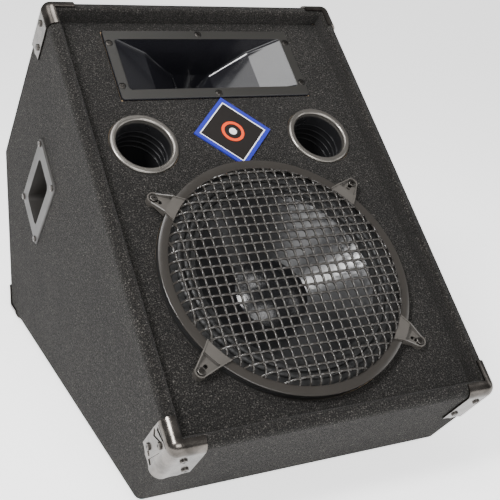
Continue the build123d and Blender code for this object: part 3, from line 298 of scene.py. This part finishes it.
def badge_material():
    """A dark plate with a pale hairline inside a blue edge, worked out from the diamond's own sides."""
    material = shader("badge_face", rough=0.55, Specular_IOR_Level=0.2)
    graph = Graph(material)
    low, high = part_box("badge_plate")
    centre = on_woofer(0, BADGE_RISE, 0)
    half_diagonal = (high.x - low.x) / 2
    sideways = graph.node("ShaderNodeVectorMath", operation="SUBTRACT")
    graph.link(graph.coords, sideways.inputs[0])
    sideways.inputs[1].default_value = centre
    parts = []
    for direction in (across, along):
        dot = graph.node("ShaderNodeVectorMath", operation="DOT_PRODUCT")
        graph.link(sideways.outputs["Vector"], dot.inputs[0])
        dot.inputs[1].default_value = direction / half_diagonal
        parts.append(dot.outputs["Value"])
    reach = graph.math("ADD", graph.math("ABSOLUTE", parts[0]), graph.math("ABSOLUTE", parts[1]))
    squares = [graph.math("MULTIPLY", part, part) for part in parts]
    radius = graph.math("SQRT", graph.math("ADD", *squares))
    dark, pale, blue = (0.012, 0.010, 0.009), (0.85, 0.86, 0.90), (0.022, 0.028, 0.30)
    grey, red = (0.80, 0.80, 0.80), (0.75, 0.07, 0.015)
    shown, hidden = (1, 1, 1), (0, 0, 0)
    edge = graph.ramp(
        reach, (0.0, dark), (0.822, dark), (0.826, pale), (0.860, pale), (0.864, blue), (1.0, blue)
    )
    emblem = graph.ramp(
        radius,
        (0.0, shown),
        (0.092, shown),
        (0.098, hidden),
        (0.206, hidden),
        (0.213, shown),
        (0.282, shown),
        (0.289, hidden),
    )
    hue = graph.ramp(radius, (0.0, grey), (0.15, grey), (0.16, red), (1.0, red))
    graph.color(graph.mix(emblem, edge, hue))
    return material


def moulded_metal():
    """Warm grey metallised moulding: soft cloudy reflections and fine scuffs."""
    material = shader("corner_plastic", (0.15, 0.135, 0.12), 0.25, 0.95)
    graph = Graph(material)
    cloud = graph.noise(60, 3.0, 0.55)
    scuff = graph.noise(700, 3.0, 0.6)
    graph.color(graph.ramp(cloud, (0.35, (0.055, 0.050, 0.045)), (0.65, (0.13, 0.118, 0.107))))
    graph.rough(graph.span(scuff, 0.16, 0.32))
    graph.bump(cloud, 0.25, 0.0006)
    return material


def split_by_height(name, above, below, low, high):
    """Two finishes (colour, roughness, metallic) in one piece, changing between low and high; the darker colour
    below is partly painted shade in the recess.
    """
    material = shader(name)
    graph = Graph(material)
    dot = graph.node("ShaderNodeVectorMath", operation="DOT_PRODUCT")
    graph.link(graph.coords, dot.inputs[0])
    dot.inputs[1].default_value = out
    level = graph.node("ShaderNodeMapRange")
    bare = woofer_centre.dot(out)
    level.inputs["From Min"].default_value = bare + low
    level.inputs["From Max"].default_value = bare + high
    graph.link(dot.outputs["Value"], level.inputs["Value"])
    mask = level.outputs["Result"]
    # colour: the lower colour is darker than the upper, partly as painted shade in the recess below the face
    graph.color(graph.mix(mask, below[0], above[0]))
    fine = graph.noise(1100, 2.0, 0.5)
    wide = graph.noise(40, 3.0, 0.5)
    gloss_mix = graph.mix(mask, (below[1],) * 3, (above[1],) * 3)
    graph.rough(graph.math("ADD", gloss_mix, graph.span(wide, -0.05, 0.07)))
    graph.link(graph.mix(mask, (below[2],) * 3, (above[2],) * 3), graph.bsdf.inputs["Metallic"])
    grain = graph.math("MULTIPLY", fine, mask)
    graph.bump(grain, 0.2, 0.0002)
    return material


def make_materials():
    return {
        "plywood": plywood_material(),
        "carpet": carpet_material(),
        "corner_plastic": moulded_metal(),
        "black_plastic": grained_plastic("black_plastic", (0.016, 0.0145, 0.013), 0.46),
        "port_plastic": split_by_height(
            "port_plastic",
            above=((0.24, 0.225, 0.205), 0.28, 0.85),
            # below: the inside of the port tube, its dark colour partly painted shade in the tube
            below=((0.012, 0.012, 0.013), 0.28, 0.0),
            low=-3 * MM,
            high=1 * MM,
        ),
        "horn_plastic": split_by_height(
            "horn_plastic",
            above=((0.020, 0.019, 0.017), 0.40, 0.0),
            # below: the horn's glossy walls, their darker colour partly painted shade in the throat
            below=((0.008, 0.008, 0.010), 0.15, 0.0),
            low=4.3 * MM,
            high=4.9 * MM,
        ),
        "gasket_foam": grained_plastic("gasket_foam", (0.006, 0.006, 0.006), 0.8, 700, 0.0005),
        "foot_rubber": grained_plastic("foot_rubber", (0.015, 0.015, 0.015), 0.7, 500, 0.0003),
        "zinc_screws": metal("zinc_screws", (0.10, 0.093, 0.086), 0.30),
        "plated_nuts": metal("plated_nuts", (0.60, 0.58, 0.55), 0.28),
        "clamp_paint": powder_coat("clamp_paint", (0.075, 0.069, 0.062), 0.24),
        "grille_paint": powder_coat("grille_paint", (0.028, 0.025, 0.022), 0.20),
        "badge_face": badge_material(),
        "basket_paint": powder_coat("basket_paint", (0.02, 0.02, 0.02), 0.4),
        "doped_cloth": grained_plastic("doped_cloth", (0.012, 0.012, 0.012), 0.5, 900, 0.0004),
        "cone_paper": pressed_paper("cone_paper", 0.24),
        "dust_cap": pressed_paper("dust_cap", 0.16),
        "coil_winding": metal("coil_winding", (0.70, 0.42, 0.25), 0.35, (1, 30, 30)),
        "motor_steel": metal("motor_steel", (0.50, 0.50, 0.51), 0.35),
        "ferrite": grained_plastic("ferrite", (0.05, 0.05, 0.055), 0.55, 300, 0.0005),
        "terminal_plastic": grained_plastic("terminal_plastic", (0.03, 0.03, 0.03), 0.4),
        "phase_plug": gloss("phase_plug", (0.08, 0.08, 0.09), 0.3),
        "diaphragm_foil": metal("diaphragm_foil", (0.72, 0.72, 0.74), 0.25),
        "driver_cover": powder_coat("driver_cover", (0.03, 0.03, 0.03), 0.35),
        "circuit_board": gloss("circuit_board", (0.03, 0.16, 0.06), 0.35),
        "copper_winding": metal("copper_winding", (0.80, 0.36, 0.18), 0.3, (1, 1, 40)),
        "capacitor_sleeve": gloss("capacitor_sleeve", (0.72, 0.48, 0.05), 0.3),
        "lead_sleeve": grained_plastic("lead_sleeve", (0.02, 0.02, 0.02), 0.5),
    }


materials = make_materials()
slots = {entry["node"]: entry["material_slot"] for entry in frame["record"]["subparts"]}
for name, node in nodes.items():
    node.data.materials.clear()
    node.data.materials.append(materials[slots[name]])


def finish_piece(piece, slot, body=None, replaced=()):
    """Material, body and CAD node of a new piece."""
    piece.data.materials.append(materials[slot])
    if body:
        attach(piece, body)
    if replaced:
        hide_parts(*replaced)


# ---------------------------------------------------------------- waffle grille
GRILLE_RADIUS = 154 * MM
BAND_INNER = 142 * MM
BAND_LOW = 11 * MM
BAND_TOP = 13 * MM
WAFFLE_TOP = 22 * MM
SHOULDER = 13 * MM
PITCH = 12 * MM
BAR_HALF = 1.4 * MM
BAR_DEEP = 2.4 * MM
BAR_OVERLAP = 1.2 * MM  # how far the bars run in over the band
DIP = 1.5 * MM
SHOULDER_FOOT = 1.6 * MM  # height of the shoulder's foot above the band's underside
SHOULDER_ROUND = 2.2  # 2 is a quarter ellipse, more is squarer


def dome(radius):
    """Height of the waffle's crest at a radius: flat, then down a rounded shoulder to the band."""
    flat = BAND_INNER - SHOULDER
    if radius <= flat:
        return WAFFLE_TOP
    share = min(1.0, (radius - flat) / SHOULDER)
    foot = BAND_LOW + SHOULDER_FOOT
    return foot + (WAFFLE_TOP - foot) * sqrt(max(0.0, 1 - share**SHOULDER_ROUND))


def waffle_bars():
    """Round-backed bars both ways, each crested between crossings and dipped where they cross."""
    verts, faces = [], []
    section = [(-1, -1), (-1, -0.35), (-0.55, -0.05), (0, 0), (0.55, -0.05), (1, -0.35), (1, -1)]
    step = PITCH / 8
    lines = range(-int(BAND_INNER / PITCH), int(BAND_INNER / PITCH) + 1)
    for turned_round in (False, True):
        for line in lines:
            fixed = line * PITCH
            reach = sqrt(max(0.0, (BAND_INNER + BAR_OVERLAP) ** 2 - fixed**2))
            if reach < PITCH / 2:
                continue
            count = int(reach / step)
            stations = [-reach] + [i * step for i in range(-count, count + 1)] + [reach]
            start = len(verts)
            for s in stations:
                wave = 0.5 + 0.5 * cos(2 * pi * s / PITCH)
                radius = hypot(fixed, s)
                crest = dome(radius) - DIP * wave**2
                width = BAR_HALF * (1 - 0.12 * (1 - wave))
                for side, drop in section:
                    x, y = s, fixed + side * width
                    if turned_round:
                        x, y = y, x
                    verts.append(on_woofer(x, y, crest + drop * BAR_DEEP))
            size = len(section)
            for i in range(len(stations) - 1):
                a, b = start + i * size, start + (i + 1) * size
                for k in range(size):
                    n = (k + 1) % size
                    faces.append((a + k, a + n, b + n, b + k))
            faces.append(tuple(range(start, start + size)))
            last = start + (len(stations) - 1) * size
            faces.append(tuple(reversed(range(last, last + size))))
    return verts, faces


def make_grille():
    bars = new_piece("waffle_bars", *waffle_bars())
    fix_normals(bars)
    finish_piece(bars, "grille_paint", "cabinet", ["woofer_grille"])
    band_profile = [
        (BAND_INNER + 0.2 * MM, BAND_LOW),
        (GRILLE_RADIUS - 0.3 * MM, BAND_LOW),
        (GRILLE_RADIUS, BAND_LOW + 0.4 * MM),
        (GRILLE_RADIUS, BAND_TOP - 0.7 * MM),
        (GRILLE_RADIUS - 0.3 * MM, BAND_TOP - 0.2 * MM),
        (GRILLE_RADIUS - 0.8 * MM, BAND_TOP),
        (BAND_INNER + 1.2 * MM, BAND_TOP),
        (BAND_INNER + 0.4 * MM, BAND_TOP - 0.3 * MM),
        (BAND_INNER, BAND_TOP - 0.9 * MM),
    ]
    band = new_piece("grille_band", *turned_mesh(band_profile, 192, on_woofer))
    fix_normals(band)
    finish_piece(band, "grille_paint", "cabinet", ["woofer_grille"])


make_grille()


# ---------------------------------------------------------------- copies of the round suspension parts
def bending_copy(node):
    """A copy of a round CAD piece with the CAD piece's material, shown in its place; the CAD piece is hidden."""
    piece = bpy.data.objects.new(node + "_bending", nodes[node].data.copy())
    piece.data.materials.clear()
    bpy.context.scene.collection.objects.link(piece)
    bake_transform(piece)
    finish_piece(piece, slots[node], None, [node])


bending_copy("woofer_surround")
bending_copy("woofer_spider")
bending_copy(
    "driver_suspension",
)


# ---------------------------------------------------------------- camera, lights and floor
def make_camera():
    """The camera stands in front, to the left and above, and is tilted a few degrees."""
    data = bpy.data.cameras.new("camera")
    data.sensor_width = 36
    data.lens = 72.48
    camera = bpy.data.objects.new("camera", data)
    bpy.context.scene.collection.objects.link(camera)
    right = Vector((0.8888, -0.4508, 0.0826)).normalized()
    up = Vector((0.0930, 0.3539, 0.9306))
    back = right.cross(up).normalized()
    up = back.cross(right)
    turn = Matrix((right, up, back)).transposed().to_4x4()
    turn.translation = Vector((-0.5517, -1.0830, 0.6583))
    camera.matrix_world = turn
    bpy.context.scene.camera = camera


def area_light(name, location, target, size, power):
    data = bpy.data.lights.new(name, "AREA")
    data.shape = "RECTANGLE"
    data.size, data.size_y = size
    data.energy = power
    lamp = bpy.data.objects.new(name, data)
    bpy.context.scene.collection.objects.link(lamp)
    lamp.location = location
    aim = Vector(target) - Vector(location)
    lamp.rotation_euler = aim.to_track_quat("-Z", "Y").to_euler()


def make_studio():
    world = bpy.data.worlds.new("studio")
    world.use_nodes = True
    world.node_tree.nodes["Background"].inputs["Color"].default_value = (1, 1, 1, 1)
    world.node_tree.nodes["Background"].inputs["Strength"].default_value = 0.25
    bpy.context.scene.world = world
    middle = (0, 0, 0.22)
    area_light("key", (-1.35, -0.70, 1.85), middle, (0.55, 0.55), 64)
    area_light("front", (-0.4, -2.0, 1.3), middle, (1.4, 0.8), 30)
    area_light("overhead", (-0.16, -0.01, 1.9), (0.1, 0.08, 0.41), (0.6, 0.6), 10)
    area_light("left_soft", (-0.85, 0.25, 1.6), (0.05, 0.1, 0.39), (0.5, 0.5), 2.5)
    area_light("right_fill", (1.7, -0.9, 0.9), middle, (0.6, 1.2), 6)
    floor_mesh = bpy.data.meshes.new("floor")
    reach = 6
    corners = [(-reach, -reach, 0), (reach, -reach, 0), (reach, reach, 0), (-reach, reach, 0)]
    floor_mesh.from_pydata(corners, [], [(0, 1, 2, 3)])
    floor = bpy.data.objects.new("floor", floor_mesh)
    bpy.context.scene.collection.objects.link(floor)
    paper = shader("floor_paper", (0.9, 0.9, 0.9), 0.9, Emission_Color=(1, 1, 1, 1), Emission_Strength=1.7)
    floor.data.materials.append(paper)


make_camera()
make_studio()
